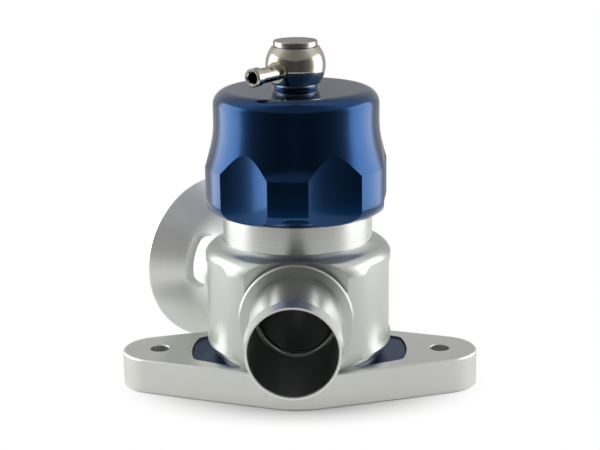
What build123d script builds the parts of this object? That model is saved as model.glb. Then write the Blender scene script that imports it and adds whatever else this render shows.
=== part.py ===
"""A flange-mounted engine blow-off valve with two outlets.

The inlet comes up through a two-bolt flange. A sprung piston closes it, and when the piston
lifts it opens a recirculation tube at the front and a vented trumpet at the back. A blue cap
screws up and down on the neck to set the springs' preload, and carries a swivelling banjo
hose fitting for the pressure signal.

Millimetres. The origin is the centre of the inlet at the flange's bottom face, +Z is up the
valve's axis, +X runs along the line of the two bolts, and the recirculation tube points to -Y.
"""
from build123d import *
from math import cos, degrees, radians, sin, tan
import os

# Mounting flange
flange_thickness = 12.0
bolt_spacing = 96.5
bolt_hole_diameter = 6.5
flange_end_radius = 12.6
flange_waist_radius = 27.7
flange_edge_chamfer = 0.5
bolt_hole_chamfer = 0.2

# Adapter plate in the flange's pocket, under the body
plate_thickness = 4.0
plate_drop = 0.5
plate_radius = 36.6
plate_rim = 2.5
plate_side_angle = 26.0
plate_corner_radius = 3.0
pocket_gap = 0.3

# Screws that clamp the flange and the plate to the body's foot
screw_radius = 1.5
screw_head_radius = 2.8
screw_head_depth = 0.3
screw_seal_gap = 0.3
screw_spread_angle = 12.0
screw_bite = 4.0

# Face seals round the inlet
seal_groove_width = 2.4
seal_groove_depth = 1.6
seal_groove_land = 1.8
fit_gap = 0.02
face_gap = 0.1

# Piston's bore, and the sleeve and neck round it
piston_bore_radius = 21.0
sleeve_wall = 2.6
neck_wall = 4.1
neck_length = 35.0
neck_chamfer = 0.4

# Valve body
body_wall = 8.2
body_floor = 4.8
body_base_margin = 5.0
foot_edge_radius = 8.5
deck_cover = 0.4
deck_edge_radius = 6.2
neck_cove_rise = 1.4
neck_cove_land = 0.3
neck_cove_width = 2.6
front_flat_cut = 4.8
side_panel_depth = 0.6
side_panel_angle = 84.0
side_panel_spread = 42.0
side_panel_drop = 3.5
side_panel_corner = 5.0
side_recess_foot = 7.4
side_recess_drop = 6.1
side_recess_start = 48.5
side_recess_shift = 0.7

# Front port, and the recirculation tube in it
port_radius = 13.9
port_rise = 20.5
port_boss_wall = 3.55
port_boss_stand = 3.0
port_boss_chamfer = 0.5
window_step = 0.3
passage_step = 0.25
spigot_length = 4.5
spigot_seal_depth = 0.6
tube_length = 31.1
tube_wall = 0.95
tube_spigot_wall = 1.15
tube_bead_height = 0.55
tube_bead_land = 2.0
tube_bead_front = 4.6
tube_bead_back = 1.6
tube_lip_drop = 0.1
tube_mouth_chamfer = 0.3

# Trumpet outlet
trumpet_rise = 2.0
trumpet_angle = 38.0
trumpet_boss_step = 0.2
trumpet_boss_inset = 0.8
trumpet_spigot_wall = 1.4
trumpet_wall = 3.3
trumpet_length = 18.2
trumpet_rim_radius = 30.0
trumpet_rim_edge = 1.1
trumpet_outer_angle = 47.0
trumpet_inner_angle = 52.0
slot_count = 3
slot_setback = 1.6
slot_width = 7.1
slot_sweep = 67.0
slot_phase = -75.0

# Seat, piston and nose seal
seat_shelf = 2.8
seat_wall = 2.3
seat_lip_width = 1.1
seat_lip_height = 0.8
seat_gap = 0.2
inlet_step = 1.2
piston_overlap = 10.7
piston_wall = 3.0
piston_crown = 4.0
piston_clearance = 0.06
piston_boss_radius = 6.0
piston_boss_height = 4.0
nose_seal_margin = 2.4
nose_seal_thickness = 2.0
retainer_gap = 0.7
retainer_cover = 1.2
retainer_thickness = 1.4
retainer_screw_radius = 2.5
retainer_screw_head_width = 2.0
retainer_screw_head_height = 2.6
hex_drive_size = 2.3
piston_ring_width = 2.0
piston_ring_depth = 1.6
piston_ring_first = 4.0
piston_ring_spacing = 5.0

# Springs and their upper seat
main_spring_gap = 1.64
main_spring_wire = 2.6
main_spring_turns = 6.5
inner_spring_gap = 2.6
inner_spring_wire = 1.8
inner_spring_turns = 7.5
spring_seat_gap = 0.54
spring_seat_thickness = 2.6
spring_seat_bore = 5.0
spring_pilot_height = 2.4
spring_pilot_gap = 0.3
thrust_washer_step = 1.9
thrust_washer_thickness = 1.0

# Adjuster cap
cap_wall = 5.8
cap_lift = 10.8
cap_height = 40.7
cap_band_height = 16.0
cap_shoulder_step = 3.4
cap_shoulder_drop = 10.5
cap_bottom_land = 0.42
cap_mouth_chamfer = 0.8
cap_top_round = 5.0
cap_top_wall = 4.5
cap_chamber_step = 3.3
cap_thread_clearance = 0.08
cap_thread_runout = 3.6
scallop_count = 6
scallop_depth = 2.6
scallop_radius = 39.5
scallop_phase = 26.1
pedestal_radius = 7.3
pedestal_height = 1.1
pedestal_fillet = 0.5
cap_seal_width = 2.2
cap_seal_depth = 1.8
cap_seal_drop = 4.0

# Banjo hose fitting
bolt_radius = 4.0
bolt_clearance = 0.06
bolt_bore_radius = 1.5
bolt_head_width = 3.3
bolt_head_thickness = 1.5
bolt_head_round = 0.5
washer_width = 2.8
washer_thickness = 0.5
banjo_radius = 9.9
banjo_height = 12.0
gallery_depth = 1.2
gallery_height = 5.0
nipple_angle = 33.7
nipple_drop = 1.2
nipple_reach = 23.8
nipple_root = 6.2
nipple_radius = 2.5
nipple_bead_height = 0.55
nipple_bead_land = 2.6
nipple_bead_back = 0.9
nipple_lip_height = 0.2
nipple_wall = 0.7
nipple_mouth_chamfer = 0.4
nipple_collar_height = 1.0
nipple_collar_length = 1.1

# Radii that follow, from the piston's bore outwards
sleeve_radius = piston_bore_radius + sleeve_wall
neck_radius = piston_bore_radius + neck_wall
body_radius = sleeve_radius + body_wall
body_front = body_radius - front_flat_cut
body_base_radius = body_radius - body_base_margin
side_panel_radius = body_radius - side_panel_depth
cap_radius = neck_radius + cap_wall
cap_shoulder_radius = cap_radius - cap_shoulder_step
cap_chamber_radius = neck_radius - cap_chamber_step
cap_bottom_round = cap_wall - cap_thread_clearance - cap_mouth_chamfer - cap_bottom_land
scallop_floor = cap_radius - scallop_depth

# Radii that follow, from the piston's bore inwards
seat_outer_radius = piston_bore_radius - seat_shelf
seat_bore_radius = seat_outer_radius - seat_wall
seat_lip_radius = seat_bore_radius + seat_lip_width
inlet_radius = seat_outer_radius - inlet_step
face_seal_radius = inlet_radius + seal_groove_land + seal_groove_width / 2
screw_circle_radius = face_seal_radius + seal_groove_width / 2 + screw_seal_gap + screw_head_radius + pocket_gap
plate_side_offset = flange_waist_radius - plate_rim
piston_radius = piston_bore_radius - piston_clearance
piston_inside_radius = piston_radius - piston_wall
retainer_radius = seat_bore_radius - retainer_gap
nose_seal_inner_radius = retainer_radius - retainer_cover
nose_seal_outer_radius = seat_lip_radius + nose_seal_margin
main_spring_radius = piston_inside_radius - main_spring_gap - main_spring_wire / 2
inner_spring_radius = (main_spring_radius - main_spring_wire / 2 - inner_spring_gap
                       - inner_spring_wire / 2)
spring_seat_radius = piston_inside_radius - spring_seat_gap
thrust_washer_radius = spring_seat_radius - thrust_washer_step

# Ports and outlets that follow
port_boss_face = body_front + port_boss_stand
window_radius = port_radius - window_step
passage_radius = port_radius + passage_step
tube_radius = port_radius + tube_wall
tube_bead_radius = tube_radius + tube_bead_height
tube_lip_radius = tube_radius - tube_lip_drop
tube_spigot_radius = port_radius + tube_spigot_wall
tube_reach = port_boss_face + tube_length
port_boss_radius = tube_spigot_radius + port_boss_wall
trumpet_boss_face = body_radius - trumpet_boss_inset
trumpet_spigot_radius = port_radius + trumpet_spigot_wall
trumpet_base_radius = port_radius + trumpet_wall
trumpet_boss_radius = trumpet_base_radius + trumpet_boss_step
trumpet_reach = trumpet_boss_face + trumpet_length
slot_start = trumpet_boss_face + slot_setback
slot_end = slot_start + slot_width

# Heights that follow
body_foot = flange_thickness - plate_drop
pocket_floor = body_foot - plate_thickness
floor_top = body_foot + body_floor
port_height = body_foot + port_rise
trumpet_height = port_height + trumpet_rise
deck_height = port_height + port_boss_radius + deck_cover
side_panel_top = deck_height - side_panel_drop
side_recess_low = body_foot + side_recess_foot
side_recess_high = deck_height - side_recess_drop
neck_top = deck_height + neck_length
piston_bottom = floor_top + seat_lip_height + seat_gap
crown_top = piston_bottom + piston_crown
piston_top = trumpet_height + window_radius + piston_overlap
cap_bottom = deck_height + cap_lift
cap_band_top = cap_bottom + cap_band_height
cap_top = cap_bottom + cap_height
cap_shoulder_height = cap_top - cap_shoulder_drop
cap_ceiling = cap_top - cap_top_wall
thrust_bottom = cap_ceiling - thrust_washer_thickness
spring_seat_top = thrust_bottom - face_gap
spring_ceiling = spring_seat_top - spring_seat_thickness
pedestal_top = cap_top + pedestal_height
banjo_bottom = pedestal_top + washer_thickness + face_gap
banjo_top = banjo_bottom + banjo_height
banjo_middle = banjo_bottom + banjo_height / 2
bolt_head_bottom = banjo_top + face_gap + washer_thickness

# Sizes of the hose fitting's small pieces that follow
bolt_head_radius = bolt_radius + bolt_head_width
washer_radius = bolt_radius + washer_width
gallery_radius = bolt_radius + gallery_depth
nipple_bore_radius = nipple_radius - nipple_wall
nipple_bead_radius = nipple_radius + nipple_bead_height
nipple_lip_radius = nipple_radius + nipple_lip_height
nipple_mouth_radius = nipple_bore_radius + nipple_mouth_chamfer
nipple_collar_radius = nipple_radius + nipple_collar_height
nipple_collar_end = banjo_radius + nipple_collar_length

# Each outlet's own frame: local +Z runs outwards along the outlet's axis
trumpet_way = (-sin(radians(trumpet_angle)), cos(radians(trumpet_angle)), 0)
nipple_way = (-sin(radians(nipple_angle)), -cos(radians(nipple_angle)), 0)
front_port = Plane(origin=(0, 0, port_height), x_dir=(1, 0, 0), z_dir=(0, -1, 0)).location
rear_port = Plane(origin=(0, 0, trumpet_height), x_dir=(0, 0, 1), z_dir=trumpet_way).location
nipple_port = Plane(origin=(0, 0, banjo_middle - nipple_drop), x_dir=(0, 0, 1), z_dir=nipple_way).location


def disc(radius, low, high, x=0.0, y=0.0):
    """A solid round bar from one height to another."""
    return Pos(x, y, low) * Cylinder(radius, high - low, align=(Align.CENTER, Align.CENTER, Align.MIN))


def ring(outer, inner, low, high):
    """A plain ring from one height to another."""
    return disc(outer, low, high) - disc(inner, low - 1, high + 1)


def turned(*edges):
    """A turned piece from the edges of its closed half section, drawn in (radius, height)."""
    return revolve(Plane.XZ * make_face(list(edges)), axis=Axis.Z)


def turned_points(*points):
    """A turned piece whose half section has only straight sides."""
    return turned(*Polyline(*points, close=True).edges())


def squeezed_ring(inner, outer, low, high):
    """A round-section seal ring that fills its groove from the inner to the outer radius."""
    section = Pos((inner + outer) / 2, (low + high) / 2) * Ellipse((outer - inner) / 2, (high - low) / 2)
    return revolve(Plane.XZ * section, axis=Axis.Z)


def coil_spring(radius, wire, turns, low, high):
    """A helical spring between two seats, with its end coils ground flat."""
    grind = wire * 0.3
    travel = high - low + 2 * grind
    path = Pos(0, 0, low - grind) * Helix(pitch=travel / turns, height=travel, radius=radius)
    section = Plane(origin=path @ 0, z_dir=path % 0) * Circle(wire / 2)
    return sweep(section, path=path, is_frenet=True) & disc(radius + wire, low, high)


def flange_outline():
    """Two end circles and a larger middle circle, joined by tangent lines."""
    half = bolt_spacing / 2
    circles = [Circle(flange_waist_radius)]
    circles += [Pos(side * half, 0) * Circle(flange_end_radius) for side in (-1, 1)]
    return make_hull([circle.edge() for circle in circles])


def plate_outline(grow=0.0):
    """A disc with three sides cut away at the front and three at the back, its end corners rounded."""
    face = Circle(plate_radius + grow)
    for turn in (0, plate_side_angle, -plate_side_angle):
        face = face & (Rot(0, 0, turn) * Rectangle(4 * plate_radius, 2 * (plate_side_offset + grow)))
    corners = [v for v in face.vertices() if abs(v.X) > plate_radius / 2]
    return fillet(corners, plate_corner_radius + grow)


def screw_places():
    """The four screws' centres, two on each side of the inlet."""
    for side in (0, 180):
        for spread in (screw_spread_angle, -screw_spread_angle):
            angle = radians(side + spread)
            yield screw_circle_radius * cos(angle), screw_circle_radius * sin(angle)


def screw_shape(x, y, bottom, tip, grow=0.0):
    """A countersunk screw from its head's face up to its tip, or with grow the hole for one."""
    head, shank = screw_head_radius + grow, screw_radius + grow
    cone_end = screw_head_depth + head - shank
    outline = turned_points((0, bottom), (head, bottom), (head, screw_head_depth),
                            (shank, cone_end), (shank, tip), (0, tip))
    return Pos(x, y) * outline


def face_groove(low, high):
    """A seal groove round the inlet."""
    half = seal_groove_width / 2
    return ring(face_seal_radius + half, face_seal_radius - half, low, high)


def face_seal(low):
    """A seal ring that fills one of the face grooves."""
    half = seal_groove_width / 2 - fit_gap
    high = low + seal_groove_depth - fit_gap
    return squeezed_ring(face_seal_radius - half, face_seal_radius + half, low + fit_gap, high)


def make_flange():
    half = bolt_spacing / 2
    flange = extrude(flange_outline(), flange_thickness)
    rims = flange.edges().filter_by(Plane.XY)
    flange = chamfer(rims, flange_edge_chamfer)
    flange -= Pos(0, 0, pocket_floor) * extrude(plate_outline(pocket_gap), flange_thickness)
    flange -= disc(inlet_radius, -1, flange_thickness)
    hole_radius = bolt_hole_diameter / 2
    rim = hole_radius + bolt_hole_chamfer
    for side in (-1, 1):
        hole = turned_points((0, -1), (hole_radius, -1), (hole_radius, flange_thickness - bolt_hole_chamfer),
                             (rim, flange_thickness), (rim, flange_thickness + 1), (0, flange_thickness + 1))
        flange -= Pos(side * half, 0) * hole
    for x, y in screw_places():
        flange -= screw_shape(x, y, -1, flange_thickness, pocket_gap)
    flange -= face_groove(-1, seal_groove_depth)
    flange -= face_groove(pocket_floor - seal_groove_depth, pocket_floor + 1)
    return flange


def make_plate():
    plate = Pos(0, 0, pocket_floor) * extrude(plate_outline(), plate_thickness)
    plate = chamfer(plate.edges().group_by(Axis.Z)[-1], flange_edge_chamfer / 2)
    plate -= disc(inlet_radius, 0, flange_thickness)
    for x, y in screw_places():
        plate -= disc(screw_radius + pocket_gap, 0, flange_thickness, x, y)
    return plate - face_groove(body_foot - seal_groove_depth, body_foot + 1)


def make_flange_screws():
    screws = []
    for x, y in screw_places():
        screw = screw_shape(x, y, 0.1, body_foot + screw_bite)
        drive = Pos(x, y) * extrude(RegularPolygon(screw_radius * 0.8, 6), screw_radius + screw_head_depth)
        screws.append(screw - drive)
    return Compound(children=screws)


def arc_across(start, end, middle):
    """The short arc from one point to another about a middle, all in (radius, height)."""
    radius = ((start[0] - middle[0]) ** 2 + (start[1] - middle[1]) ** 2) ** 0.5
    half = ((start[0] + end[0]) / 2 - middle[0], (start[1] + end[1]) / 2 - middle[1])
    reach = radius / (half[0] ** 2 + half[1] ** 2) ** 0.5
    return ThreePointArc(start, (middle[0] + half[0] * reach, middle[1] + half[1] * reach), end)


def round_body():
    """The body before it is milled: a rounded foot, a round shoulder and a cove round the neck."""
    foot_middle = (body_radius - foot_edge_radius, body_foot + foot_edge_radius)
    base_rise = foot_edge_radius - (foot_edge_radius ** 2 - (body_base_radius - foot_middle[0]) ** 2) ** 0.5
    base_top = (body_base_radius, body_foot + base_rise)
    wall_low = (body_radius, foot_middle[1])
    deck_middle = (body_radius - deck_edge_radius, deck_height - deck_edge_radius)
    wall_high = (body_radius, deck_middle[1])

    cove_top = (neck_radius + neck_cove_land, deck_height + neck_cove_rise)
    cove_out = cove_top[0] + neck_cove_width
    way = ((cove_out - deck_middle[0]) / deck_edge_radius,
           (deck_edge_radius ** 2 - (cove_out - deck_middle[0]) ** 2) ** 0.5 / deck_edge_radius)
    cove_foot = (cove_out, deck_middle[1] + way[1] * deck_edge_radius)
    across = (cove_foot[0] - cove_top[0], cove_foot[1] - cove_top[1])
    cove_radius = -(across[0] ** 2 + across[1] ** 2) / (2 * (way[0] * across[0] + way[1] * across[1]))
    cove_middle = (cove_foot[0] + way[0] * cove_radius, cove_foot[1] + way[1] * cove_radius)
    return turned(
        *Polyline((0, body_foot), (body_base_radius, body_foot), base_top).edges(),
        arc_across(base_top, wall_low, foot_middle), Line(wall_low, wall_high),
        arc_across(wall_high, cove_foot, deck_middle), arc_across(cove_foot, cove_top, cove_middle),
        *Polyline(cove_top, (0, cove_top[1]), (0, body_foot)).edges())


def side_cutters():
    """What is milled off the body's right side: the shallow side panel and the recess in it."""
    reach = 2 * body_radius
    width = 2 * side_panel_radius * sin(radians(side_panel_spread))
    face = Pos(0, side_panel_top / 2) * Rectangle(width, side_panel_top)
    face = fillet(face.vertices().group_by(Axis.Y)[-1], side_panel_corner)
    turn = radians(side_panel_angle)
    facing = Plane(origin=(0, 0, 0), x_dir=(cos(turn), sin(turn), 0), z_dir=(sin(turn), -cos(turn), 0)).location
    panel = facing * extrude(face, reach) - disc(side_panel_radius, 0, deck_height)

    back = radians(side_recess_start)
    shift = (side_recess_shift * cos(back), side_recess_shift * sin(back))
    recess = facing * (Pos(0, 0, reach / 2) * Box(width, 2 * reach, reach))
    recess = recess & disc(reach, side_recess_low, side_recess_high)
    return panel, recess - disc(side_panel_radius, 0, deck_height, -shift[0], -shift[1])


def make_body():
    reach = 2 * body_radius
    body = round_body()
    for cutter in side_cutters():
        body -= cutter
        body -= mirror(cutter, about=Plane.YZ)
    body -= Pos(0, -body_front - reach / 2, 0) * Box(2 * reach, reach, 2 * reach)
    boss = extrude(Circle(port_boss_radius), port_boss_face)
    boss = chamfer(boss.edges().group_by(Axis.Z)[-1], port_boss_chamfer)
    body += front_port * boss
    rear_boss = rear_port * disc(trumpet_boss_radius, 0, trumpet_boss_face)
    body += rear_boss & disc(reach, body_foot, deck_height - fit_gap)
    body -= rear_port * disc(trumpet_base_radius + 1, trumpet_boss_face, 2 * trumpet_boss_face)
    overhang = Rectangle(4 * reach, 4 * reach) - plate_outline()
    body -= extrude(overhang, flange_thickness + face_gap)

    body -= disc(sleeve_radius, floor_top, 2 * deck_height)
    body -= disc(neck_radius + fit_gap, deck_height, 2 * deck_height)
    body -= disc(seat_outer_radius, 0, deck_height)
    spigot_end = port_boss_face - spigot_length
    body -= front_port * disc(passage_radius, 0, port_boss_face + 1)
    body -= front_port * disc(tube_spigot_radius, spigot_end, port_boss_face + 1)
    body -= rear_port * disc(passage_radius, 0, trumpet_boss_face + 1)
    body -= rear_port * disc(trumpet_spigot_radius, trumpet_boss_face - spigot_length,
                             trumpet_boss_face + 1)
    for x, y in screw_places():
        body -= disc(screw_radius + fit_gap, 0, body_foot + screw_bite + fit_gap, x, y)
    return body


def spigot_groove():
    """Where an outlet's seal sits: first and last distance back from the boss's face."""
    middle = spigot_length / 2
    return middle + seal_groove_depth / 2, middle - seal_groove_depth / 2


def make_tube():
    start = port_boss_face - spigot_length
    spigot = tube_spigot_radius - fit_gap
    back, front = (port_boss_face - d for d in spigot_groove())
    land_start = tube_reach - tube_bead_front - tube_bead_land
    tube = turned_points(
        (port_radius, start), (spigot, start), (spigot, port_boss_face), (tube_radius, port_boss_face),
        (tube_radius, land_start - tube_bead_back), (tube_bead_radius, land_start),
        (tube_bead_radius, land_start + tube_bead_land), (tube_lip_radius, tube_reach),
        (port_radius + tube_mouth_chamfer, tube_reach), (port_radius, tube_reach - tube_mouth_chamfer))
    tube -= ring(spigot + 1, spigot - spigot_seal_depth, back, front)
    return front_port * tube


def make_spigot_seal(port, radius, face):
    """The seal ring in the groove of an outlet's spigot."""
    outer = radius - fit_gap
    back, front = (face - d for d in spigot_groove())
    return port * squeezed_ring(outer - spigot_seal_depth, outer, back + fit_gap, front - fit_gap)


def flare(start, end, angle):
    """A tangent arc and then a straight cone of the given angle, from (radius, reach) to another."""
    (r0, z0), (r1, z1) = start, end
    lean = radians(angle)
    length, rise = z1 - z0, r1 - r0
    radius = (length * tan(lean) - rise) / (sin(lean) * tan(lean) - 1 + cos(lean))
    middle = (r0 + radius * (1 - cos(lean / 2)), z0 + radius * sin(lean / 2))
    bend = (r0 + radius * (1 - cos(lean)), z0 + radius * sin(lean))
    return [ThreePointArc(start, middle, bend), Line(bend, end)]


def make_trumpet():
    start = trumpet_boss_face - spigot_length
    spigot = trumpet_spigot_radius - fit_gap
    face = trumpet_boss_face
    rim_in = (trumpet_rim_radius - trumpet_rim_edge, trumpet_reach)
    rim_out = (trumpet_rim_radius, trumpet_reach - trumpet_rim_edge / 2)
    throat = (port_radius, face)
    trumpet = turned(
        *Polyline(throat, (port_radius, start), (spigot, start), (spigot, face),
                  (trumpet_base_radius, face)).edges(),
        *flare((trumpet_base_radius, face), rim_out, trumpet_outer_angle),
        *Polyline(rim_out, (trumpet_rim_radius, trumpet_reach), rim_in).edges(),
        *flare(throat, rim_in, trumpet_inner_angle))
    back, front = (face - d for d in spigot_groove())
    trumpet -= ring(spigot + 1, spigot - spigot_seal_depth, back, front)

    round_end = (slot_end - slot_start) / 2
    end_angle = degrees(round_end / trumpet_base_radius)
    middle = (slot_start + slot_end) / 2
    inner, outer = port_radius / 2, trumpet_rim_radius
    block = Pos((inner + outer) / 2, middle) * Rectangle(outer - inner, 2 * round_end)
    straight = slot_sweep - 2 * end_angle
    sector = Rot(0, 0, -straight / 2) * revolve(Plane.XZ * block, axis=Axis.Z, revolution_arc=straight)
    for turn in (-straight / 2, straight / 2):
        sector += Rot(0, 0, turn) * Pos(0, 0, middle) * Rot(0, 90, 0) * disc(round_end, inner, outer)
    for k in range(slot_count):
        trumpet -= Rot(0, 0, slot_phase + k * 360 / slot_count) * sector
    return rear_port * trumpet


def make_seat():
    lip_top = floor_top + seat_lip_height
    outer = seat_outer_radius - fit_gap
    return turned_points(
        (seat_bore_radius, body_foot), (outer, body_foot), (outer, floor_top),
        (seat_lip_radius, floor_top), ((seat_lip_radius + seat_bore_radius) / 2 + fit_gap, lip_top),
        (seat_bore_radius, lip_top))


def sleeve_seal_place():
    """The lowest and highest point of the groove under the neck's shoulder."""
    return deck_height - seal_groove_depth - 1, deck_height - 1


def cap_seal_place():
    """The lowest and highest point of the neck's groove for the cap's seal."""
    top = neck_top - cap_seal_drop
    return top - cap_seal_width, top


def make_sleeve():
    outer = sleeve_radius - fit_gap
    low, high = sleeve_seal_place()
    sleeve = turned_points(
        (piston_bore_radius, floor_top), (outer, floor_top), (outer, deck_height), (neck_radius, deck_height),
        (neck_radius, neck_top - neck_chamfer), (neck_radius - neck_chamfer, neck_top),
        (piston_bore_radius + neck_chamfer, neck_top), (piston_bore_radius, neck_top - neck_chamfer))
    sleeve -= ring(sleeve_radius + 1, outer - seal_groove_depth / 2, low, high)
    low, high = cap_seal_place()
    sleeve -= ring(neck_radius + 1, neck_radius - cap_seal_depth, low, high)
    for port in (front_port, rear_port):
        sleeve -= port * disc(window_radius, 0, body_radius)
    return sleeve


def make_sleeve_seal():
    low, high = sleeve_seal_place()
    outer = sleeve_radius - fit_gap
    return squeezed_ring(outer - seal_groove_depth / 2, outer, low + fit_gap, high - fit_gap)


def make_cap_seal():
    low, high = cap_seal_place()
    outer = neck_radius + cap_thread_clearance / 2
    return squeezed_ring(neck_radius - cap_seal_depth, outer, low + fit_gap, high - fit_gap)


def ring_grooves():
    """The lowest and highest point of each of the piston's ring grooves."""
    for k in range(2):
        high = piston_top - piston_ring_first - k * piston_ring_spacing
        yield high - piston_ring_width, high


def make_piston():
    radius = piston_radius
    inside = piston_inside_radius
    seal_top = piston_bottom + nose_seal_thickness
    boss_top = crown_top + piston_boss_height
    piston = turned_points(
        (0, piston_bottom), (nose_seal_inner_radius, piston_bottom), (nose_seal_inner_radius, seal_top),
        (nose_seal_outer_radius, seal_top), (nose_seal_outer_radius, piston_bottom),
        (radius, piston_bottom), (radius, piston_top), (inside, piston_top), (inside, crown_top),
        (piston_boss_radius, crown_top), (piston_boss_radius, boss_top), (0, boss_top))
    for low, high in ring_grooves():
        piston -= ring(radius + 1, radius - piston_ring_depth, low, high)
    return piston - disc(retainer_screw_radius + fit_gap, 0, boss_top + 1)


def make_piston_rings():
    outer = piston_bore_radius - piston_clearance / 2
    inner = piston_radius - piston_ring_depth + fit_gap
    return Compound(children=[ring(outer, inner, low + fit_gap, high - fit_gap)
                              for low, high in ring_grooves()])


def make_nose_seal():
    return ring(nose_seal_outer_radius - fit_gap, nose_seal_inner_radius + fit_gap,
                piston_bottom, piston_bottom + nose_seal_thickness)


def make_retainer():
    return ring(retainer_radius, retainer_screw_radius + fit_gap,
                piston_bottom - retainer_thickness, piston_bottom)


def make_retainer_screw():
    head_top = piston_bottom - retainer_thickness
    head_bottom = head_top - retainer_screw_head_height
    screw = disc(retainer_screw_radius + retainer_screw_head_width, head_bottom, head_top)
    screw = fillet(screw.edges().group_by(Axis.Z)[0], retainer_screw_head_height / 4)
    screw += disc(retainer_screw_radius, head_bottom, crown_top + piston_boss_height)
    drive = extrude(RegularPolygon(hex_drive_size, 6), retainer_screw_head_height)
    return screw - Pos(0, 0, head_bottom - 1) * drive


def make_spring_seat():
    pilot_outer = main_spring_radius - main_spring_wire / 2 - spring_pilot_gap
    pilot_inner = inner_spring_radius + inner_spring_wire / 2 + spring_pilot_gap
    seat = ring(spring_seat_radius, spring_seat_bore, spring_ceiling, spring_seat_top)
    return seat + ring(pilot_outer, pilot_inner, spring_ceiling - spring_pilot_height, spring_ceiling)


def make_thrust_washer():
    return ring(thrust_washer_radius, spring_seat_bore, thrust_bottom, cap_ceiling)


def make_cap():
    """The bell-shaped cap: turned, then scalloped round its grip."""
    bore = neck_radius + cap_thread_clearance
    runout = neck_top + cap_thread_runout
    fall = cap_shoulder_height - cap_band_top
    spread = cap_radius - cap_shoulder_radius
    bell = (fall ** 2 + spread ** 2) / (2 * spread)
    half_fall = fall / 2
    bell_middle = (cap_shoulder_radius + bell - (bell ** 2 - half_fall ** 2) ** 0.5,
                   cap_shoulder_height - half_fall)
    bevel = 1 - cos(radians(45))
    foot_in, foot_out = (cap_radius - cap_bottom_round, cap_bottom), (cap_radius, cap_bottom + cap_bottom_round)
    foot_mid = (cap_radius - cap_bottom_round * bevel, cap_bottom + cap_bottom_round * bevel)
    top_out, top_in = (cap_shoulder_radius, cap_top - cap_top_round), (cap_shoulder_radius - cap_top_round, cap_top)
    top_mid = (cap_shoulder_radius - cap_top_round * bevel, cap_top - cap_top_round * bevel)
    hole = bolt_radius + fit_gap
    cap = turned(
        *Polyline((bore, cap_bottom + cap_mouth_chamfer), (bore + cap_mouth_chamfer, cap_bottom), foot_in).edges(),
        ThreePointArc(foot_in, foot_mid, foot_out),
        Line(foot_out, (cap_radius, cap_band_top)),
        ThreePointArc((cap_radius, cap_band_top), bell_middle, (cap_shoulder_radius, cap_shoulder_height)),
        Line((cap_shoulder_radius, cap_shoulder_height), top_out),
        ThreePointArc(top_out, top_mid, top_in),
        *Polyline(top_in, (pedestal_radius + pedestal_fillet, cap_top),
                  (pedestal_radius, cap_top + pedestal_fillet), (pedestal_radius, pedestal_top),
                  (hole, pedestal_top), (hole, cap_ceiling), (cap_chamber_radius, cap_ceiling),
                  (cap_chamber_radius, runout), (bore, runout), (bore, cap_bottom + cap_mouth_chamfer)).edges())
    scallop = disc(scallop_radius, cap_bottom - 1, cap_shoulder_height, scallop_floor + scallop_radius)
    for k in range(scallop_count):
        cap -= Rot(0, 0, scallop_phase - 90 + k * 360 / scallop_count) * scallop
    return cap


def make_banjo_bolt():
    """The hollow bolt that clamps the hose fitting and feeds it through a cross hole."""
    head_top = bolt_head_bottom + bolt_head_thickness
    bolt = disc(bolt_head_radius, bolt_head_bottom, head_top)
    bolt = fillet(bolt.edges().group_by(Axis.Z)[-1], bolt_head_round)
    bolt += disc(bolt_radius, cap_ceiling, bolt_head_bottom)
    bolt -= disc(bolt_bore_radius, cap_ceiling - 1, banjo_middle + bolt_bore_radius)
    bolt -= Pos(0, 0, banjo_middle) * Rot(90, 0, 0) * Cylinder(bolt_bore_radius, 4 * bolt_radius)
    return bolt


def make_banjo_washers():
    hole = bolt_radius + fit_gap
    return Compound(children=[
        ring(washer_radius, hole, pedestal_top, pedestal_top + washer_thickness),
        ring(washer_radius, hole, bolt_head_bottom - washer_thickness, bolt_head_bottom)])


def make_banjo():
    """The ball of the hose fitting, with its gallery round the bolt."""
    ball = Pos(0, 0, banjo_middle) * Sphere(banjo_radius)
    ball = ball & disc(banjo_radius + 1, banjo_bottom, banjo_top)
    ball -= disc(bolt_radius + bolt_clearance, banjo_bottom - 1, banjo_top + 1)
    half = gallery_height / 2
    ball -= disc(gallery_radius, banjo_middle - half, banjo_middle + half)
    return ball - nipple_port * disc(nipple_radius + fit_gap, 0, banjo_radius + 1)


def make_nipple():
    """The hose nipple fixed in the ball: a collar, a plain length and a bead."""
    bead_end = nipple_reach - (nipple_bead_radius - nipple_lip_radius)
    bead_start = bead_end - nipple_bead_land
    seat = banjo_radius - fit_gap
    mouth = nipple_mouth_radius - nipple_bore_radius
    nipple = turned_points(
        (nipple_bore_radius, nipple_root), (nipple_radius, nipple_root), (nipple_radius, seat),
        (nipple_collar_radius, seat), (nipple_collar_radius, nipple_collar_end),
        (nipple_radius, nipple_collar_end), (nipple_radius, bead_start - nipple_bead_back),
        (nipple_bead_radius, bead_start), (nipple_bead_radius, bead_end),
        (nipple_lip_radius, nipple_reach), (nipple_mouth_radius, nipple_reach),
        (nipple_bore_radius, nipple_reach - mouth))
    return nipple_port * nipple


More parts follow.
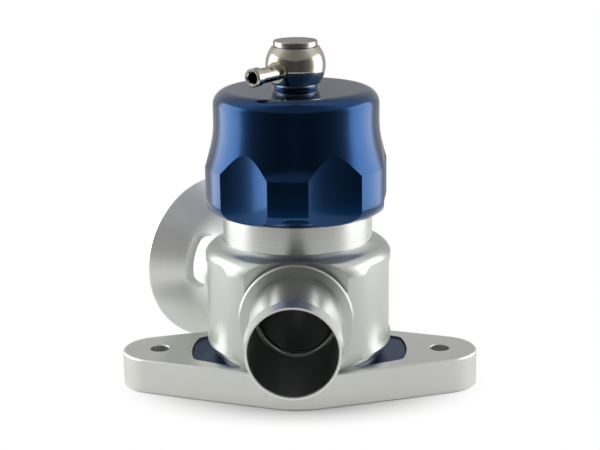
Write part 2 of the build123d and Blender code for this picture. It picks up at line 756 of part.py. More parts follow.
def make_parts():
    """Every piece of the valve, by the name of its node."""
    front_seal = make_spigot_seal(front_port, tube_spigot_radius, port_boss_face)
    rear_seal = make_spigot_seal(rear_port, trumpet_spigot_radius, trumpet_boss_face)
    return {
        "mounting_flange": make_flange(),
        "adapter_plate": make_plate(),
        "flange_screws": make_flange_screws(),
        "face_seal": face_seal(0),
        "plate_seal": face_seal(pocket_floor - seal_groove_depth),
        "foot_seal": face_seal(body_foot - seal_groove_depth),
        "valve_body": make_body(),
        "seat_ring": make_seat(),
        "cylinder_sleeve": make_sleeve(),
        "sleeve_seal": make_sleeve_seal(),
        "cap_seal": make_cap_seal(),
        "recirculation_tube": make_tube(),
        "tube_seal": front_seal,
        "trumpet": make_trumpet(),
        "trumpet_seal": rear_seal,
        "piston": make_piston(),
        "piston_rings": make_piston_rings(),
        "nose_seal": make_nose_seal(),
        "seal_retainer": make_retainer(),
        "retainer_screw": make_retainer_screw(),
        "main_spring": coil_spring(main_spring_radius, main_spring_wire, main_spring_turns,
                                   crown_top, spring_ceiling),
        "inner_spring": coil_spring(inner_spring_radius, inner_spring_wire, inner_spring_turns,
                                    crown_top, spring_ceiling),
        "spring_seat": make_spring_seat(),
        "thrust_washer": make_thrust_washer(),
        "adjuster_cap": make_cap(),
        "banjo_bolt": make_banjo_bolt(),
        "banjo_washers": make_banjo_washers(),
        "banjo_fitting": make_banjo(),
        "hose_nipple": make_nipple(),
    }


os.makedirs("parts", exist_ok=True)
for name, piece in make_parts().items():
    export_step(piece, f"parts/{name}.step")
    box = piece.bounding_box()
    print(f"{name}: {piece.volume:.0f} mm3, z {box.min.Z:.2f} to {box.max.Z:.2f}")
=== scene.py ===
# %% [markdown]
# # A blow-off valve, dressed in Blender
#
# The valve is already built as exact solids, so this lesson gives it its looks: metals that
# were milled, turned, blasted, anodised or plated, two wound springs, a studio to reflect, and
# a camera. Everything is in metres. +Z is up the valve's axis and the recirculation tube
# points to -Y.

# %% Load the fixed solids
import bpy
from math import cos, radians, sin
from mathutils import Matrix, Vector


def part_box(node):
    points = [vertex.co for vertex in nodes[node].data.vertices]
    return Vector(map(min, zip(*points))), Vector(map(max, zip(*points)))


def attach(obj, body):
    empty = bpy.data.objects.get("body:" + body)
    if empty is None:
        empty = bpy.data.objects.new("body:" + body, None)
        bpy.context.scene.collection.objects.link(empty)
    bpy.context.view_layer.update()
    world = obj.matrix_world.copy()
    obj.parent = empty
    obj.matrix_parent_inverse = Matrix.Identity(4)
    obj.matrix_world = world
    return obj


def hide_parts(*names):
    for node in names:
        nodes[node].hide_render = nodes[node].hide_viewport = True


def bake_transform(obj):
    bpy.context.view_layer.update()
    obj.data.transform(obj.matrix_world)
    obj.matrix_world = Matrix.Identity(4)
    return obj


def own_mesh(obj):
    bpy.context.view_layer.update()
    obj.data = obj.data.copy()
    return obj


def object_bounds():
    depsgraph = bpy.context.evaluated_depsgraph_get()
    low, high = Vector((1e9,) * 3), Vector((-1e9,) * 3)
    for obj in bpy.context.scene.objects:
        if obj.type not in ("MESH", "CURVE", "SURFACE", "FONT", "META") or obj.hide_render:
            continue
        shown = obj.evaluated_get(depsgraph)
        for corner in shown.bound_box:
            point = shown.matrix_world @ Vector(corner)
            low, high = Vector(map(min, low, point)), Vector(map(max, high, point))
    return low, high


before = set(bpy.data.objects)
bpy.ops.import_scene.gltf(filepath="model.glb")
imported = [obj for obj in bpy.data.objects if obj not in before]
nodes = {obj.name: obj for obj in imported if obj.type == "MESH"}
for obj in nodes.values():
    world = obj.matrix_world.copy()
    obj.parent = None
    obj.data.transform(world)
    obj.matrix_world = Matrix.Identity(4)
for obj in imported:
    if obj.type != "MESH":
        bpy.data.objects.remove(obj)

cad_low, cad_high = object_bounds()
MM = 0.001
print("solids:", len(nodes), "size in mm:",
      [round((b - a) / MM, 1) for a, b in zip(cad_low, cad_high)])

# %% [markdown]
# ## Colours and one node helper
#
# Colours are written as the hex values that a paint chart gives, and one function turns them
# into the linear values that shaders work with. Each material is a small tree, and one helper
# adds a node with its settings and its links, so that a tree reads from top to bottom.

# %% Colour and node helpers


def colour(code):
    """The linear colour of an sRGB hex value."""
    parts = [int(code[k:k + 2], 16) / 255 for k in (1, 3, 5)]
    return [p / 12.92 if p <= 0.04045 else ((p + 0.055) / 1.055) ** 2.4 for p in parts] + [1.0]


def node(tree, kind, values=None, links=None, **settings):
    """Adds a node, sets its own settings and its sockets' values, and links its inputs."""
    made = tree.nodes.new(kind)
    for name, value in settings.items():
        setattr(made, name, value)
    for name, value in (values or {}).items():
        made.inputs[name].default_value = value
    for name, source in (links or {}).items():
        tree.links.new(source, made.inputs[name])
    return made


def material(name, base, metallic, roughness):
    """A new material with its shader set to constants. Returns the material, tree and shader."""
    made = bpy.data.materials.new(name)
    made.use_nodes = True
    tree = made.node_tree
    shader = tree.nodes["Principled BSDF"]
    values = {"Base Color": colour(base), "Metallic": metallic, "Roughness": roughness}
    for socket, value in values.items():
        shader.inputs[socket].default_value = value
    return made, tree, shader


print("white is", [round(c, 3) for c in colour("#ffffff")])

# %% [markdown]
# ## How a machined surface shows
#
# A turned face carries one fine spiral groove: rings on a flat face and lines round a tube.
# The distance along the profile is near enough height plus radius about the turning axis, so
# a one-dimensional noise along that distance gives both. Real grooves are 0.1 mm apart, too
# fine for this picture, so they are drawn at about 0.6 mm. The same grooves stretch each
# reflection across themselves. An anisotropic shader does this when its tangent runs round the
# axis and has a quarter turn. A blasted or moulded face has a fine grain with no direction
# instead, and every finish has patches that came out a little rougher than the rest.

# %% A place seen from a turning axis
VALVE_CENTRE, UPRIGHT = (0, 0, 0), (0, 0, 0)


def seen_from_axis(tree, centre=VALVE_CENTRE, turn=UPRIGHT):
    """Object coordinates seen from an axis: centre in mm, turn in degrees about X, Y and Z."""
    place = node(tree, "ShaderNodeTexCoord").outputs["Object"]
    about = node(tree, "ShaderNodeMapping", {
        "Location": [c * MM for c in centre], "Rotation": [radians(a) for a in turn]},
        {"Vector": place}, vector_type="TEXTURE")
    return about.outputs["Vector"]


print("turning axis of most pieces: centre", VALVE_CENTRE, "turn", UPRIGHT)

# %% Grooves of the lathe tool
RING_SPACING = 0.6    # mm


def lathe_grooves(tree, shader, place, spacing, depth):
    """Rings of the lathe tool round the axis, spacing millimetres apart and depth deep."""
    split = node(tree, "ShaderNodeSeparateXYZ", links={"Vector": place})
    flat = node(tree, "ShaderNodeVectorMath", {1: (1, 1, 0)}, {0: place}, operation="MULTIPLY")
    radius = node(tree, "ShaderNodeVectorMath", links={0: flat.outputs[0]}, operation="LENGTH")
    along = node(tree, "ShaderNodeMath", links={
        0: radius.outputs["Value"], 1: split.outputs["Z"]}, operation="ADD")
    height = node(tree, "ShaderNodeTexNoise", {
        "Scale": 1.0 / (spacing * MM), "Detail": 2.0, "Roughness": 0.6},
        {"W": along.outputs[0]}, noise_dimensions="1D")
    raised = node(tree, "ShaderNodeBump", {"Distance": depth * MM},
                  {"Height": height.outputs["Fac"]})
    tree.links.new(raised.outputs["Normal"], shader.inputs["Normal"])
    return height.outputs["Fac"]


def painted_groove_shade(tree, shader, height, base, share):
    """Paints shade into the deep grooves: their colour falls to share times the base colour at the
    deepest.
    """
    # Most of the noise lies between these two heights.
    deep = node(tree, "ShaderNodeMapRange", {"From Min": 0.32, "From Max": 0.62}, {"Value": height})
    pale = colour(base)
    dim = [part * share for part in pale[:3]] + [1.0]
    # The rings' darker colour is painted shade in the grooves.
    # Sockets 6 and 7 of a Mix node are its two colours, and output 2 is the mixed one.
    rings = node(tree, "ShaderNodeMix", {6: dim, 7: pale}, {"Factor": deep.outputs["Result"]},
                 data_type="RGBA")
    tree.links.new(rings.outputs[2], shader.inputs["Base Color"])


def round_tangent(tree, shader, place, turn):
    """The surface's direction runs round the turning axis, along the grooves."""
    split = node(tree, "ShaderNodeSeparateXYZ", links={"Vector": place})
    back = node(tree, "ShaderNodeMath", {1: -1.0}, {0: split.outputs["Y"]}, operation="MULTIPLY")
    round_it = node(tree, "ShaderNodeCombineXYZ", links={
        "X": back.outputs[0], "Y": split.outputs["X"]})
    turned = node(tree, "ShaderNodeMapping", {"Rotation": [radians(a) for a in turn]},
                  {"Vector": round_it.outputs[0]}, vector_type="VECTOR")
    tree.links.new(turned.outputs["Vector"], shader.inputs["Tangent"])


print("grooves are drawn", RING_SPACING, "mm apart")

# %% Grain and patches


def fine_grain(tree, shader, place, size, depth):
    """Tiny dents or lumps of a blasted or moulded face, size and depth in millimetres."""
    dents = node(tree, "ShaderNodeTexNoise", {"Scale": 1.0 / (size * MM), "Detail": 2.0},
                 {"Vector": place})
    raised = node(tree, "ShaderNodeBump", {"Distance": depth * MM},
                  {"Height": dents.outputs["Fac"]})
    tree.links.new(raised.outputs["Normal"], shader.inputs["Normal"])


def rougher_patches(tree, shader, place, size, smoothest, roughest):
    """Patches of the given size in millimetres between two roughness values."""
    patches = node(tree, "ShaderNodeTexNoise", {"Scale": 1.0 / (size * MM), "Detail": 3.0},
                   {"Vector": place})
    spread = node(tree, "ShaderNodeMapRange", {"To Min": smoothest, "To Max": roughest},
                  {"Value": patches.outputs["Fac"]})
    tree.links.new(spread.outputs["Result"], shader.inputs["Roughness"])


print("helpers for grain and patches are ready")

# %% A turned metal
QUARTER_TURN = 0.25
# The deepest rings' darker colour is painted shade.
RING_SHADE = 0.92    # share of the base colour that the deepest rings return


def turned_metal(name, base, roughness, spacing, depth, centre=VALVE_CENTRE, turn=UPRIGHT,
                 anisotropy=0.0, rings=RING_SHADE):
    """A lathe-turned metal about its own axis, with painted shade in its deep rings and patches 9
    mm wide up to a tenth rougher.
    """
    made, tree, shader = material(name, base, 1.0, roughness)
    place = seen_from_axis(tree, centre, turn)
    grooves = lathe_grooves(tree, shader, place, spacing, depth)
    painted_groove_shade(tree, shader, grooves, base, rings)
    if anisotropy:
        shader.inputs["Anisotropic"].default_value = anisotropy
        # A quarter turn lays the long side of the shine across the grooves.
        shader.inputs["Anisotropic Rotation"].default_value = QUARTER_TURN
        round_tangent(tree, shader, place, turn)
    rougher_patches(tree, shader, place, 9.0, roughness * 0.92, roughness * 1.1)
    return made


print("deepest rings return", RING_SHADE, "of the base colour")

# %% [markdown]
# ## Bare aluminium from the lathe
#
# The neck, the tube and the trumpet are bare aluminium, turned on a lathe: pale, with fine
# rings and a soft streak down each side. Each has its own turning axis, so one function makes
# all three and takes the axis. The trumpet was rubbed finer, so its rings are faint, with less
# painted shade in them, and its shine is wide.

# %% Turned aluminium: neck, tube and trumpet
turned_neck = turned_metal("turned aluminium neck", "#dcdfdb", 0.28, RING_SPACING, 0.02,
                           anisotropy=0.45)
# The tube lies along -Y, 32 mm up, and the trumpet points back and to the left, 34 mm up.
turned_tube = turned_metal("turned aluminium tube", "#eeefec", 0.26, RING_SPACING, 0.004,
                           centre=(0, 0, 32), turn=(90, 0, 0), anisotropy=0.45)
# The trumpet's rings keep 0.96 of its colour, a fainter painted shade.
turned_trumpet = turned_metal("turned aluminium trumpet", "#f9faf8", 0.46, RING_SPACING, 0.006,
                              centre=(0, 0, 34), turn=(-90, 0, 38), anisotropy=0.4, rings=0.96)
print("turned metals:", [m.name for m in (turned_neck, turned_tube, turned_trumpet)])

# %% [markdown]
# ## The milled flange and the blasted body
#
# The flange was milled from bar: a fly cutter leaves faint parallel passes on its top, and
# the side is smoother. The body was blasted with fine glass beads, which makes tiny dents
# with no direction, so its bump is plain noise and its shine is soft.

# %% Milled and blasted aluminium
milled, tree, shader = material("milled aluminium", "#e6e7e3", 1.0, 0.34)
place = seen_from_axis(tree)
# The passes run along X, so the grain is stretched fifty times that way.
passes = node(tree, "ShaderNodeMapping", {"Scale": (0.02, 1, 1)}, {"Vector": place})
fine_grain(tree, shader, passes.outputs["Vector"], 0.7, 0.006)
rougher_patches(tree, shader, place, 14.0, 0.31, 0.38)

blasted, tree, shader = material("bead-blasted aluminium", "#cdd1cd", 1.0, 0.29)
place = seen_from_axis(tree)
fine_grain(tree, shader, place, 0.45, 0.01)
rougher_patches(tree, shader, place, 12.0, 0.26, 0.31)
print("milled and blasted:", milled.name, blasted.name)

# %% [markdown]
# ## Anodised blue and bright nickel
#
# Anodising grows a clear hard skin on aluminium and dyes it, so light crosses blue glass
# twice on its way to the metal and back. A dark blue metal under a clear coat does the same:
# the metal gives the deep blue reflections, and the coat adds the pale ones at the edges. The
# hose fitting is brass with bright nickel plate, a smooth and slightly warm mirror.

# %% Blue anodised aluminium: cap and plate
anodised, tree, shader = material("blue anodised aluminium", "#023c6e", 1.0, 0.1)
shader.inputs["Coat Weight"].default_value = 0.55
shader.inputs["Coat Roughness"].default_value = 0.03
place = seen_from_axis(tree)
# The cap is nearly polished, so its grooves are wide and very shallow.
lathe_grooves(tree, shader, place, 0.9, 0.0005)
rougher_patches(tree, shader, place, 10.0, 0.09, 0.13)

anodised_plate, tree, shader = material("satin blue anodised aluminium", "#08305e", 1.0, 0.3)
shader.inputs["Coat Weight"].default_value = 0.1
shader.inputs["Coat Roughness"].default_value = 0.2
place = seen_from_axis(tree)
lathe_grooves(tree, shader, place, RING_SPACING, 0.003)
rougher_patches(tree, shader, place, 8.0, 0.28, 0.34)
print("blue finishes:", anodised.name, "and", anodised_plate.name)

# %% Bright nickel: the hose fitting
nickel, tree, shader = material("bright nickel plate", "#cfc9bc", 1.0, 0.07)
place = seen_from_axis(tree)
fine_grain(tree, shader, place, 2.5, 0.003)
rougher_patches(tree, shader, place, 4.0, 0.05, 0.1)
print("plating:", nickel.name)

# %% [markdown]
# ## Small and hidden metals
#
# The springs and the piston show only through the tube and the trumpet, the screws only from
# below, and two sealing washers are thin lines at the hose fitting. Spring wire is grey, with
# an oil film in patches. Hard anodising leaves the piston dull and dark grey. Screws and
# washers are plain turned steel, paler and brighter, and the seat ring is yellow brass. The
# helpers above make all of them.

# %% Small and hidden metals
spring_steel, tree, shader = material("oiled spring steel", "#6b6e72", 1.0, 0.28)
place = seen_from_axis(tree)
fine_grain(tree, shader, place, 0.8, 0.004)
rougher_patches(tree, shader, place, 3.0, 0.24, 0.36)

hard_anodised = turned_metal("grey hard anodised aluminium", "#5c5e60", 0.42, RING_SPACING, 0.003)
# Small pieces carry their rings 0.5 mm apart.
steel = turned_metal("turned steel", "#a9abad", 0.3, 0.5, 0.003)
brass = turned_metal("machined brass", "#c9a24d", 0.26, 0.5, 0.003)
print("metals:", len(bpy.data.materials))

# %% [markdown]
# ## Rubber and plastic
#
# The seals are moulded nitrile rubber, nearly black and matt with a fine moulded grain. The
# piston's rings are turned PTFE, a milky white plastic with faint tool rings. Both sit deep in
# the valve, so two short trees are enough.

# %% Rubber and plastic
rubber, tree, shader = material("moulded nitrile rubber", "#1b1b1b", 0.0, 0.62)
place = seen_from_axis(tree)
fine_grain(tree, shader, place, 0.5, 0.01)
rougher_patches(tree, shader, place, 5.0, 0.56, 0.68)

ptfe, tree, shader = material("turned PTFE", "#e6e3da", 0.0, 0.45)
place = seen_from_axis(tree)
lathe_grooves(tree, shader, place, 0.5, 0.003)
rougher_patches(tree, shader, place, 5.0, 0.42, 0.5)
print("soft materials:", rubber.name, ptfe.name)

# %% [markdown]
# ## Give each solid its finish
#
# A solid from the frame keeps its shape, and only its material slot changes. A table of finish
# and names keeps every choice in one place, and the count shows that no solid is forgotten.

# %% Give each solid its finish
finishes = {
    milled: ["mounting_flange"],
    anodised_plate: ["adapter_plate"],
    blasted: ["valve_body"],
    turned_neck: ["cylinder_sleeve"],
    turned_tube: ["recirculation_tube"],
    turned_trumpet: ["trumpet"],
    anodised: ["adjuster_cap"],
    nickel: ["banjo_fitting", "hose_nipple", "banjo_bolt"],
    steel: ["flange_screws", "seal_retainer", "retainer_screw", "thrust_washer", "banjo_washers"],
    hard_anodised: ["piston", "spring_seat"],
    spring_steel: ["main_spring", "inner_spring"],
    brass: ["seat_ring"],
    rubber: ["face_seal", "plate_seal", "foot_seal", "sleeve_seal", "cap_seal", "tube_seal",
             "trumpet_seal", "nose_seal"],
    ptfe: ["piston_rings"],
}
for finish, names in finishes.items():
    for name in names:
        mesh = nodes[name].data
        mesh.materials.clear()
        mesh.materials.append(finish)
print("finished solids:", sum(len(names) for names in finishes.values()), "of", len(nodes))

# %% [markdown]
# ## The two springs
#
# The piston is held down by two coil springs, one inside the other. Each is one wire wound
# round a bar, with its last turn at either end closed up and ground flat so that it stands
# square. A spring follows a rule, so Geometry Nodes winds it: a spiral gives the turns, the
# height of each point comes from its turn number, a circle makes it a wire, and a clamp grinds
# the ends. One tree makes both, because only its inputs differ.
#
# The piston pushes a spring from below and the cap's seat moves its top. Each spring is made
# in two halves that meet in the middle: the lower half rides with the piston, and the upper half
# stays where it is.

# %% Spring tree: inputs and spiral
POINTS_PER_TURN, WIRE_SIDES = 40, 18
coil = bpy.data.node_groups.new("coil spring", "GeometryNodeTree")
inputs = {label: coil.interface.new_socket(label, in_out="INPUT", socket_type="NodeSocketFloat")
          for label in ("Coil Radius", "Wire", "Bottom", "Top", "Working Turns", "End Turns",
                        "From", "To")}
inputs["Material"] = coil.interface.new_socket("Material", in_out="INPUT",
                                               socket_type="NodeSocketMaterial")
coil.interface.new_socket("Geometry", in_out="OUTPUT", socket_type="NodeSocketGeometry")
given = node(coil, "NodeGroupInput").outputs
turns = node(coil, "ShaderNodeMath", {1: 2.0}, {0: given["End Turns"], 2: given["Working Turns"]},
             operation="MULTIPLY_ADD").outputs[0]
spiral = node(coil, "GeometryNodeCurveSpiral", {"Resolution": POINTS_PER_TURN, "Height": 0.0}, {
    "Rotations": turns, "Start Radius": given["Coil Radius"], "End Radius": given["Coil Radius"]})
share = node(coil, "GeometryNodeSplineParameter").outputs["Factor"]
turn_number = node(coil, "ShaderNodeMath", links={0: share, 1: turns},
                   operation="MULTIPLY").outputs[0]
print("spring inputs:", list(inputs))

# %% Spring tree: the height of each turn
# The working turns share the height that is left when both ends have closed up by one wire.
span = node(coil, "ShaderNodeMath", links={0: given["Top"], 1: given["Bottom"]},
            operation="SUBTRACT")
pitched = node(coil, "ShaderNodeMath", {1: -2.0}, {0: given["Wire"], 2: span.outputs[0]},
               operation="MULTIPLY_ADD")
last = node(coil, "ShaderNodeMath", links={0: given["End Turns"], 1: given["Working Turns"]},
            operation="ADD")
rises = [(None, given["End Turns"], given["Wire"]),
         (given["End Turns"], last.outputs[0], pitched.outputs[0]),
         (last.outputs[0], turns, given["Wire"])]
height = given["Bottom"]
for start, end, rise in rises:
    # Each part of the wire climbs from nothing to its rise while the turn number passes it.
    links = {"Value": turn_number, "From Max": end, "To Max": rise}
    if start is not None:
        links["From Min"] = start
    part = node(coil, "ShaderNodeMapRange", links=links)
    height = node(coil, "ShaderNodeMath", links={0: height, 1: part.outputs["Result"]},
                  operation="ADD").outputs[0]
flat = node(coil, "ShaderNodeSeparateXYZ", links={
    "Vector": node(coil, "GeometryNodeInputPosition").outputs["Position"]})
lifted = node(coil, "ShaderNodeCombineXYZ", links={
    "X": flat.outputs["X"], "Y": flat.outputs["Y"], "Z": height})
wound = node(coil, "GeometryNodeSetPosition", links={
    "Geometry": spiral.outputs["Curve"], "Position": lifted.outputs["Vector"]})
print("parts of the wire with their own rise:", len(rises))

# %% Spring tree: the wire and its ground ends
piece = node(coil, "GeometryNodeTrimCurve", links={
    "Curve": wound.outputs["Geometry"], "Start": given["From"], "End": given["To"]})
half_wire = node(coil, "ShaderNodeMath", {1: 0.5}, {0: given["Wire"]}, operation="MULTIPLY")
section = node(coil, "GeometryNodeCurvePrimitiveCircle", {"Resolution": WIRE_SIDES},
               {"Radius": half_wire.outputs[0]})
wire = node(coil, "GeometryNodeCurveToMesh", {"Fill Caps": True}, {
    "Curve": piece.outputs["Curve"], "Profile Curve": section.outputs["Curve"]})
rough = node(coil, "ShaderNodeSeparateXYZ", links={
    "Vector": node(coil, "GeometryNodeInputPosition").outputs["Position"]})
ground = node(coil, "ShaderNodeClamp", links={
    "Value": rough.outputs["Z"], "Min": given["Bottom"], "Max": given["Top"]})
squared = node(coil, "ShaderNodeCombineXYZ", links={
    "X": rough.outputs["X"], "Y": rough.outputs["Y"], "Z": ground.outputs[0]})
stands = node(coil, "GeometryNodeSetPosition", links={
    "Geometry": wire.outputs["Mesh"], "Position": squared.outputs["Vector"]})
real = node(coil, "GeometryNodeRealizeInstances", links={"Geometry": stands.outputs["Geometry"]})
painted = node(coil, "GeometryNodeSetMaterial", links={
    "Geometry": real.outputs["Geometry"], "Material": given["Material"]})
node(coil, "NodeGroupOutput", links={"Geometry": painted.outputs["Geometry"]})
print("spring tree:", len(coil.nodes), "nodes")

# %% Wind one half of a spring
END_TURNS = 1.0    # closed up and ground flat, at either end


def wound_half(name, stands_for, wire, working_turns, from_share, to_share):
    """Part of a spring as wide and as high as its CAD node. Wire in mm, shares along the wire.

    Returns the piece and the spring's lowest, middle and highest height.
    """
    lowest, highest = (Vector(corner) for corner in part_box(stands_for))
    seed = bpy.data.objects.new(name, bpy.data.meshes.new(name))
    bpy.context.scene.collection.objects.link(seed)
    wind = seed.modifiers.new("coil", "NODES")
    wind.node_group = coil
    values = {"Coil Radius": (highest.x - lowest.x - wire * MM) / 2, "Wire": wire * MM,
              "Bottom": lowest.z, "Top": highest.z, "Working Turns": working_turns,
              "End Turns": END_TURNS, "From": from_share, "To": to_share, "Material": spring_steel}
    for label, value in values.items():
        wind[inputs[label].identifier] = value
    bpy.context.view_layer.update()
    wound_wire = seed.evaluated_get(bpy.context.evaluated_depsgraph_get())
    baked = bpy.data.meshes.new_from_object(wound_wire)
    seed.modifiers.remove(wind)
    seed.data = baked
    # The wire's four-sided faces are smooth, and the caps at its two ends stay flat.
    baked.polygons.foreach_set("use_smooth", [len(face.vertices) == 4 for face in baked.polygons])
    return seed, lowest.z, (lowest.z + highest.z) / 2, highest.z


print("turns closed up at either end:", END_TURNS)


def wound_spring(name, stands_for, wire, working_turns):
    """Both halves of a spring, the lower one moving with the piston. Returns how many faces."""
    lower, bottom, middle, top = wound_half(name + "_lower", stands_for, wire, working_turns,
                                            0.0, 0.5)
    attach(lower, "piston")
    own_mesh(lower)
    upper = wound_half(name + "_upper", stands_for, wire, working_turns, 0.5, 1.0)[0]
    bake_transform(upper)
    for half in (lower, upper):
        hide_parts(stands_for)
    return len(lower.data.polygons) + len(upper.data.polygons)


print("spring faces:", wound_spring("main_coil", "main_spring", 2.6, 6.5),
      wound_spring("inner_coil", "inner_spring", 1.8, 7.5))

# %% [markdown]
# ## The studio
#
# A product table in a white room. The floor is real paper near the valve, so that it keeps the
# valve's shadow, and turns to plain white further out, only where the camera looks at it. The
# room gives a little even light, and is white wherever the camera or a reflection sees it.

# %% Floor of white paper
# An oval round the valve is paper: it reaches 38 mm to the sides and 25 mm to front and back,
# and has turned white at 66 and 44 mm.
PAPER_ENDS, WHITE_STARTS, WIDER_THAN_DEEP = 0.038, 0.066, 1.5
floor_material, tree, shader = material("white paper sweep", "#f4f4f2", 0.0, 0.8)
place = seen_from_axis(tree)
fine_grain(tree, shader, place, 1.2, 0.01)
oval = node(tree, "ShaderNodeVectorMath", {1: (1, WIDER_THAN_DEEP, 0)}, {0: place},
            operation="MULTIPLY")
away = node(tree, "ShaderNodeVectorMath", links={0: oval.outputs[0]}, operation="LENGTH")
fade = node(tree, "ShaderNodeMapRange", {"From Min": PAPER_ENDS, "From Max": WHITE_STARTS},
            {"Value": away.outputs["Value"]}, interpolation_type="SMOOTHSTEP")
seen = node(tree, "ShaderNodeLightPath").outputs["Is Camera Ray"]
white = node(tree, "ShaderNodeEmission", {"Color": (1, 1, 1, 1), "Strength": 1.0})
part_white = node(tree, "ShaderNodeMath", links={0: fade.outputs["Result"], 1: seen},
                  operation="MULTIPLY")
whole = node(tree, "ShaderNodeMixShader", links={
    "Fac": part_white.outputs[0], 1: shader.outputs[0], 2: white.outputs[0]})
tree.links.new(whole.outputs[0], tree.nodes["Material Output"].inputs["Surface"])

reach = 3.0    # metres each way from the valve
floor_mesh = bpy.data.meshes.new("floor")
floor_mesh.from_pydata([(-reach, -reach, 0), (reach, -reach, 0), (reach, reach, 0),
                        (-reach, reach, 0)], [], [(0, 1, 2, 3)])
floor = bpy.data.objects.new("floor", floor_mesh)
floor_mesh.materials.append(floor_material)
bpy.context.scene.collection.objects.link(floor)
floor.location.z = cad_low.z
print("floor at", round(floor.location.z / MM, 2), "mm")

# %% White room
ROOM_LIGHT = 0.45    # strength of the room as a light
world = bpy.data.worlds.new("white room")
bpy.context.scene.world = world
world.use_nodes = True
tree = world.node_tree
tree.nodes.clear()
path = node(tree, "ShaderNodeLightPath")
mirrored = node(tree, "ShaderNodeMath", links={
    0: path.outputs["Is Camera Ray"], 1: path.outputs["Is Glossy Ray"]}, operation="MAXIMUM")
shown = node(tree, "ShaderNodeMath", links={
    0: mirrored.outputs[0], 1: path.outputs["Is Transmission Ray"]}, operation="MAXIMUM")
strength = node(tree, "ShaderNodeMapRange", {"To Min": ROOM_LIGHT, "To Max": 1.0},
                {"Value": shown.outputs[0]})
room = node(tree, "ShaderNodeBackground", {"Color": (1, 1, 1, 1)},
            {"Strength": strength.outputs["Result"]})
node(tree, "ShaderNodeOutputWorld", links={"Surface": room.outputs[0]})
print("room light:", ROOM_LIGHT)

# %% [markdown]
# ## Lamps
#
# Two large soft lamps at the sides and one above, all at a plain level, so that a colour
# renders about as it is written. Large lamps give soft shadows and wide highlights.

# %% Lamps
LAMP_WATTS = 2.6    # of the left lamp, and the others take a share of it
VALVE_MIDDLE = Vector((0, 0, 60)) * MM


def soft_light(name, azimuth, elevation, distance, size, power):
    """A rectangular soft light aimed at the valve. Azimuth 0 is the tube's side, and 90 is +X."""
    lamp = bpy.data.lights.new(name, "AREA")
    lamp.shape = "RECTANGLE"
    lamp.size, lamp.size_y = size
    lamp.energy = power
    stand = bpy.data.objects.new(name, lamp)
    bpy.context.scene.collection.objects.link(stand)
    a, e = radians(azimuth), radians(elevation)
    way = Vector((sin(a) * cos(e), -cos(a) * cos(e), sin(e)))
    stand.location = VALVE_MIDDLE + way * distance
    stand.rotation_euler = (-way).to_track_quat("-Z", "Y").to_euler()


soft_light("left soft light", azimuth=-95, elevation=22, distance=0.8, size=(0.55, 0.6),
           power=LAMP_WATTS)
soft_light("right soft light", azimuth=98, elevation=22, distance=0.8, size=(0.55, 0.6),
           power=LAMP_WATTS * 0.9)
soft_light("top soft light", azimuth=0, elevation=88, distance=0.9, size=(0.7, 0.7),
           power=LAMP_WATTS * 0.6)
print("lights:", len(bpy.data.lights))

# %% [markdown]
# ## A tent for the reflections
#
# The cap is almost a mirror, so what stands round it matters as much as the lamps. A round
# tent that only reflections see stands 270 mm away: bright at both sides, for the cap's two
# pale streaks, dark in front, for its deep middle, and grey behind and above. Its glow follows
# curves against the angle from the front, as shares of 180 degrees and of the brightest glow.
# The floor inside the tent is pale, and so is the lower metal that reflects it.

# %% Glow of the tent
tent_radius, tent_low, tent_high, brightest = 0.27, 0.002, 0.32, 2.7
low_band = [(0, 0.03), (0.22, 0.04), (0.33, 0.09), (0.4, 0.3), (0.44, 0.74), (0.51, 0.95),
            (0.62, 0.95), (0.68, 0.55), (0.74, 0.2), (0.85, 0.17), (1, 0.27)]
high_band = [(0, 0.08), (0.3, 0.14), (0.5, 0.3), (0.75, 0.22), (1, 0.11)]
# As shares of the tent's height: 211 mm up at the front and sides and 125 mm at the back.
band_top = [(0, 0.66), (0.6, 0.66), (0.8, 0.39), (1, 0.39)]
tent_glow = bpy.data.materials.new("reflection tent")
tent_glow.use_nodes = True
tree = tent_glow.node_tree
tree.nodes.clear()
spot = node(tree, "ShaderNodeSeparateXYZ", links={
    "Vector": node(tree, "ShaderNodeTexCoord").outputs["Object"]})
front = node(tree, "ShaderNodeMath", {1: -1.0}, {0: spot.outputs["Y"]}, operation="MULTIPLY")
angle = node(tree, "ShaderNodeMath", links={0: spot.outputs["X"], 1: front.outputs[0]},
             operation="ARCTAN2")
either_side = node(tree, "ShaderNodeMath", links={0: angle.outputs[0]}, operation="ABSOLUTE")
share = node(tree, "ShaderNodeMapRange", {"From Max": radians(180)},
             {"Value": either_side.outputs[0]})
bands = []
for points in (low_band, high_band, band_top):
    bend = node(tree, "ShaderNodeFloatCurve", links={"Value": share.outputs["Result"]})
    line = bend.mapping.curves[0]
    line.points[0].location, line.points[1].location = points[0], points[-1]
    for point in points[1:-1]:
        line.points.new(*point)
    bend.mapping.update()
    bands.append(bend.outputs["Value"])
lower, upper, edge = bands
above = node(tree, "ShaderNodeMath", {1: -tent_high}, {0: edge, 2: spot.outputs["Z"]},
             operation="MULTIPLY_ADD")
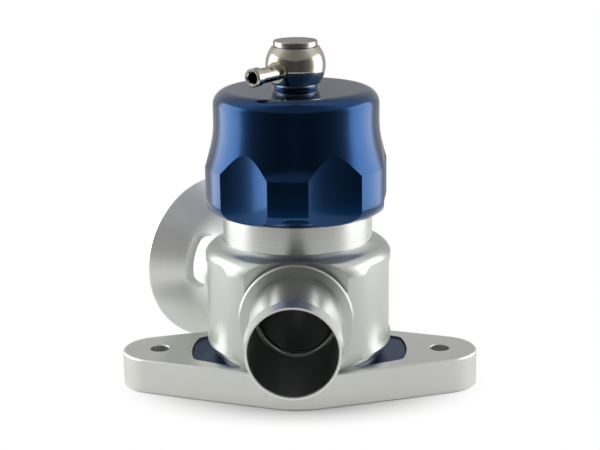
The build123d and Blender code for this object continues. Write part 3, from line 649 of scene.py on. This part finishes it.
# The bands meet softly, 20 mm to either side of the edge.
level = node(tree, "ShaderNodeMapRange", {"From Min": -0.02, "From Max": 0.02},
             {"Value": above.outputs[0]}, interpolation_type="SMOOTHSTEP")
glow = node(tree, "ShaderNodeMix", links={
    "Factor": level.outputs["Result"], "A": lower, "B": upper})
bright = node(tree, "ShaderNodeMath", {1: brightest}, {0: glow.outputs["Result"]},
              operation="MULTIPLY")
shine = node(tree, "ShaderNodeEmission", {"Color": (1, 1, 1, 1)}, {"Strength": bright.outputs[0]})
node(tree, "ShaderNodeOutputMaterial", links={"Surface": shine.outputs[0]})
print("brightness curves:", len(bands))

# %% Shape of the tent
sides = 96
rim = [(sin(radians(360 * k / sides)) * tent_radius, -cos(radians(360 * k / sides)) * tent_radius)
       for k in range(sides)]
corners = [(x, y, z) for z in (tent_low, tent_high) for x, y in rim]
faces = [(k, (k + 1) % sides, sides + (k + 1) % sides, sides + k) for k in range(sides)]
faces.append(tuple(range(sides, 2 * sides)))
tent_mesh = bpy.data.meshes.new("reflection tent")
tent_mesh.from_pydata(corners, [], faces)
tent_mesh.materials.append(tent_glow)
tent = bpy.data.objects.new("reflection tent", tent_mesh)
bpy.context.scene.collection.objects.link(tent)
tent.visible_camera = False
tent.visible_diffuse = False
tent.visible_transmission = False
tent.visible_shadow = False
print("tent radius in mm:", round(tent_radius / MM, 1))

# %% [markdown]
# ## The camera
#
# The photograph was taken with a long lens from a little above. The camera's place, its lens
# and its small tilt come from solving the view for the flange's two holes and the cap.

# %% Camera
camera_place = Vector((15.29, -473.01, 182.83)) * MM
forward = Vector((-0.03121, 0.96534, -0.25914)).normalized()
right = forward.cross(Vector((0, 0, 1))).normalized()
up = right.cross(forward)
tilt = radians(-0.76)
right, up = right * cos(tilt) + up * sin(tilt), up * cos(tilt) - right * sin(tilt)
focal_pixels, centre_x, picture_width = 1454.94, 297.67, 600

view = bpy.data.cameras.new("camera")
view.sensor_width = 36.0
view.lens = focal_pixels / picture_width * view.sensor_width
view.shift_x = (picture_width / 2 - centre_x) / picture_width
view.clip_start, view.clip_end = 0.02, 20.0
camera = bpy.data.objects.new("camera", view)
bpy.context.scene.collection.objects.link(camera)
camera.matrix_world = Matrix((
    (right.x, up.x, -forward.x, camera_place.x),
    (right.y, up.y, -forward.y, camera_place.y),
    (right.z, up.z, -forward.z, camera_place.z),
    (0, 0, 0, 1)))
bpy.context.scene.camera = camera
bpy.context.scene.view_settings.view_transform = "Standard"
print("lens in mm:", round(view.lens, 1))
